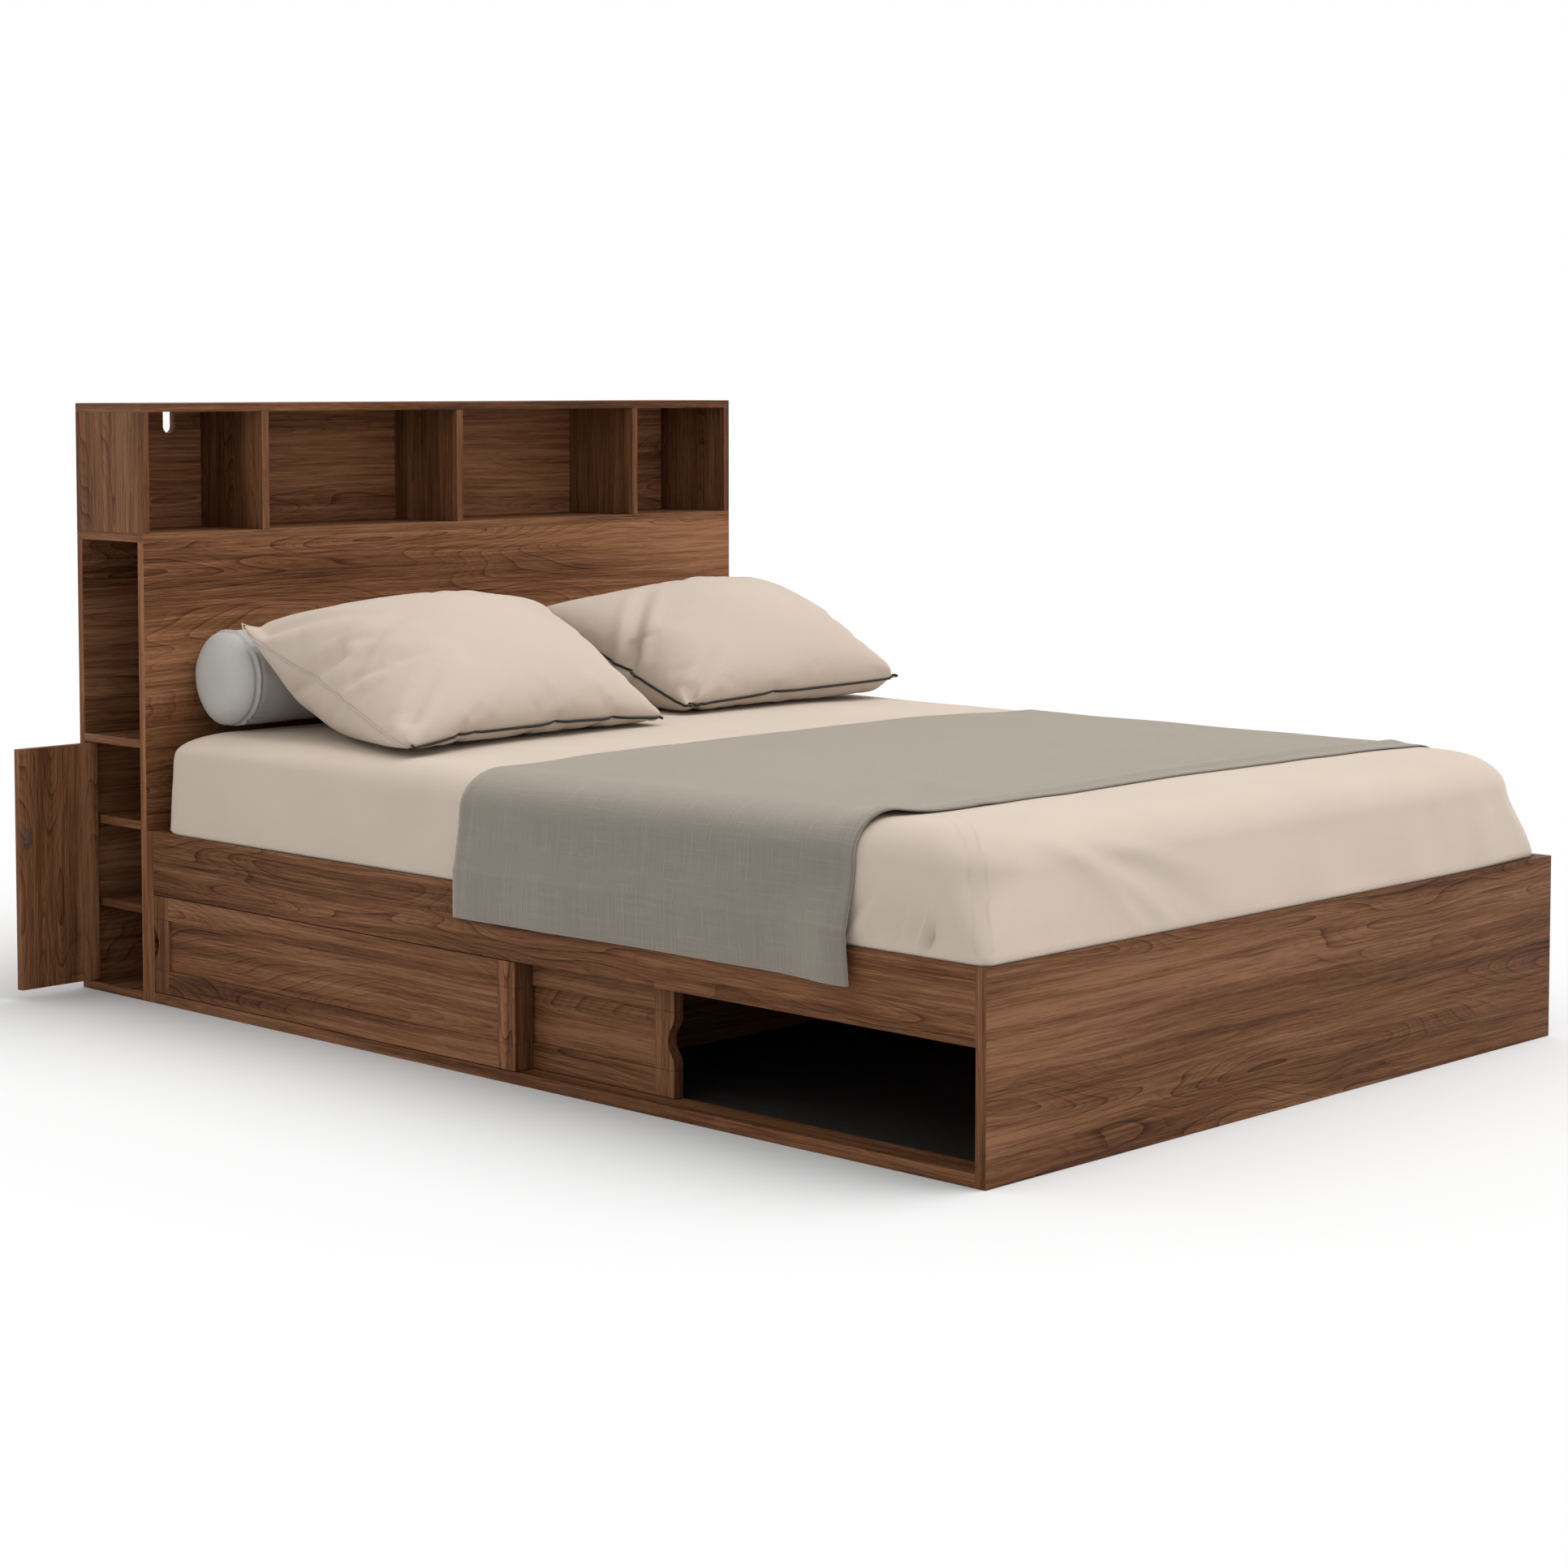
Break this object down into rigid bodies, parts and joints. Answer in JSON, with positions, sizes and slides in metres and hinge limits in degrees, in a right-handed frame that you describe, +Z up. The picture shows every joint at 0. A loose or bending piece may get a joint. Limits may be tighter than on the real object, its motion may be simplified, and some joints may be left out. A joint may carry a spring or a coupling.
{
  "type": "platform bed with headboard storage",
  "caption": "Walnut platform bed with sliding-door storage bays in the base and a headboard with open cubbies, end niches and hinged end cabinets, made up with bedding.",
  "frame": {"origin": "on the floor at the middle of the base and headboard footprint, on the centreline, under the centre divider", "axes": "+Z up, +Y from the foot towards the headboard, +X towards the right-hand side seen from the foot"},
  "size_m": [1.7265, 2.296, 1.132],
  "materials": {
    "walnut_board": "satin walnut-pattern laminate, straight and cathedral grain, darker edge banding",
    "black_board": "matt black board",
    "slat_wood": "planed pale softwood",
    "steel": "zinc-plated steel",
    "plastic": "moulded nylon",
    "sheet_cotton": "smooth beige percale",
    "pillow_cotton": "smooth beige percale with dark corded piping",
    "bolster_cloth": "short-pile pale grey cloth",
    "throw_weave": "grey-taupe plain weave"
  },
  "bodies": {
    "bed": {"bed_slats": "slat_wood", "bolster": "bolster_cloth", "bottom_track_left": "walnut_board", "bottom_track_right": "walnut_board", "cabinet_base_left": "walnut_board", "cabinet_base_right": "walnut_board", "cabinet_shelves_left": "walnut_board", "cabinet_shelves_right": "walnut_board", "centre_divider_foot": "walnut_board", "centre_divider_head": "walnut_board", "corner_brackets": "steel", "cross_partition": "walnut_board", "cubby_back": "walnut_board", "cubby_divider_centre": "walnut_board", "cubby_divider_left": "walnut_board", "cubby_divider_right": "walnut_board", "cubby_floor": "walnut_board", "end_panel_left": "walnut_board", "end_panel_right": "walnut_board", "floor_panel_left": "black_board", "floor_panel_right": "black_board", "footboard": "walnut_board", "guide_rail_left": "walnut_board", "guide_rail_right": "walnut_board", "head_panel": "walnut_board", "headboard_back": "walnut_board", "headboard_front": "walnut_board", "headboard_top": "walnut_board", "magnet_catches": "plastic", "mattress": "sheet_cotton", "niche_shelf_left": "walnut_board", "niche_shelf_right": "walnut_board", "niche_wall_left": "walnut_board", "niche_wall_right": "walnut_board", "pillow_left": "pillow_cotton", "pillow_right": "pillow_cotton", "pivot_bushes": "plastic", "shelf_pins": "steel", "side_rail_left": "walnut_board", "side_rail_right": "walnut_board", "slat_screws": "steel", "throw": "throw_weave"},
    "cabinet_door_left": {"cabinet_door_left": "walnut_board", "strike_plate_left": "steel", "pivot_pins_left": "steel"},
    "cabinet_door_right": {"cabinet_door_right": "walnut_board", "strike_plate_right": "steel", "pivot_pins_right": "steel"},
    "outer_door_left": {"outer_door_left_frame": "walnut_board", "outer_door_left_panel": "walnut_board", "outer_door_left_glides": "plastic"},
    "outer_door_right": {"outer_door_right_frame": "walnut_board", "outer_door_right_panel": "walnut_board", "outer_door_right_glides": "plastic"},
    "inner_door_left": {"inner_door_left_frame": "walnut_board", "inner_door_left_panel": "walnut_board", "inner_door_left_glides": "plastic"},
    "inner_door_right": {"inner_door_right_frame": "walnut_board", "inner_door_right_panel": "walnut_board", "inner_door_right_glides": "plastic"}
  },
  "joints": [
    {"name": "cabinet_door_left_hinge", "type": "hinge", "parent": "bed", "child": "cabinet_door_left", "pos_m": [-0.7725, 1.1205, 0.2485], "axis": [0, 0, 1], "range_deg": [-10, 90]},
    {"name": "cabinet_door_right_hinge", "type": "hinge", "parent": "bed", "child": "cabinet_door_right", "pos_m": [0.7725, 1.1205, 0.2485], "axis": [0, 0, 1], "range_deg": [0, 100]},
    {"name": "outer_door_left_slide", "type": "slide", "parent": "bed", "child": "outer_door_left", "axis": [0, 1, 0], "range_m": [-1.009, 0]},
    {"name": "outer_door_right_slide", "type": "slide", "parent": "bed", "child": "outer_door_right", "axis": [0, 1, 0], "range_m": [-1.009, 0]},
    {"name": "inner_door_left_slide", "type": "slide", "parent": "bed", "child": "inner_door_left", "axis": [0, 1, 0], "range_m": [-0.669, 0.34]},
    {"name": "inner_door_right_slide", "type": "slide", "parent": "bed", "child": "inner_door_right", "axis": [0, 1, 0], "range_m": [0, 1.009]}
  ]
}
